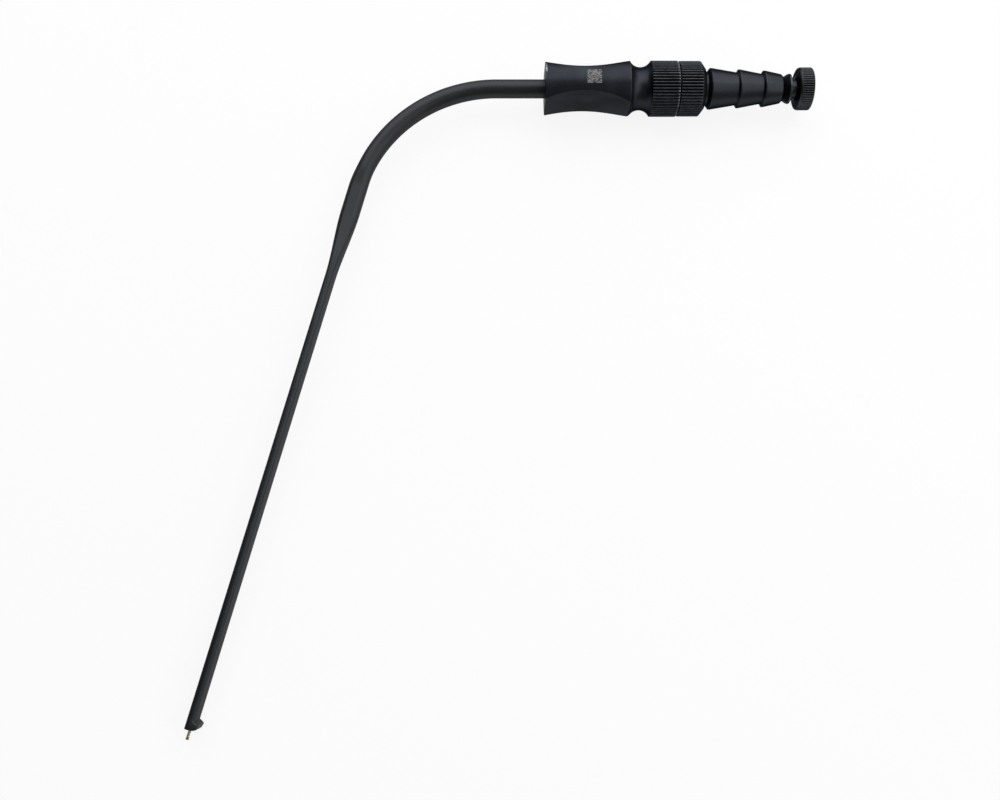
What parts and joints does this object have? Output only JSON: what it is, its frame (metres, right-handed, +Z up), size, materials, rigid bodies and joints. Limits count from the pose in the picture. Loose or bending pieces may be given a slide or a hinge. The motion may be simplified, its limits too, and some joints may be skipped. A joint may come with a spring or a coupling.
{
  "type": "suction retractor with stylet",
  "caption": "Angled hand-held suction retractor: flat hollow blade with a small foot, scalloped grip, knurled coupling, barbed hose nozzle and a draw-out cleaning stylet.",
  "frame": {"origin": "middle of the base of the instrument as it lies on its side", "axes": "+X along the handle from the tube to the stylet knob, +Y in the plane of the bend and away from the tip, +Z up from the surface that it lies on"},
  "size_m": [0.1618, 0.1784, 0.0147],
  "materials": {
    "shaft_coat": "satin black ceramic coat on drawn steel tube",
    "grip_coat": "satin blue-black coat on turned steel",
    "nozzle_coat": "satin blue-black coat on turned steel",
    "knob_coat": "satin blue-black coat on turned steel",
    "seal_rubber": "matt black sealing rubber",
    "bare_wire": "bare stranded stainless wire"
  },
  "bodies": {
    "instrument": {"shaft_tube": "shaft_coat", "grip_body": "grip_coat", "hose_nozzle": "nozzle_coat", "coupling_seal": "seal_rubber", "stylet_cable": "bare_wire"},
    "stylet": {"stylet_knob": "knob_coat", "stylet_ring_seal": "seal_rubber", "stylet_washer": "seal_rubber"},
    "stylet_end": {"stylet_tip": "bare_wire"}
  },
  "joints": [
    {"name": "stylet_draw", "type": "slide", "parent": "instrument", "child": "stylet", "axis": [1, 0, 0], "range_m": [0, 0.018], "deforming": ["stylet_cable"]},
    {"name": "stylet_end_draw", "type": "slide", "parent": "instrument", "child": "stylet_end", "axis": [0.2639, 0.9642, 0.0248], "range_m": [0, 0.018]}
  ],
  "couplings": [
    {"joint": "stylet_end_draw", "follows": "stylet_draw", "ratio": 1}
  ]
}
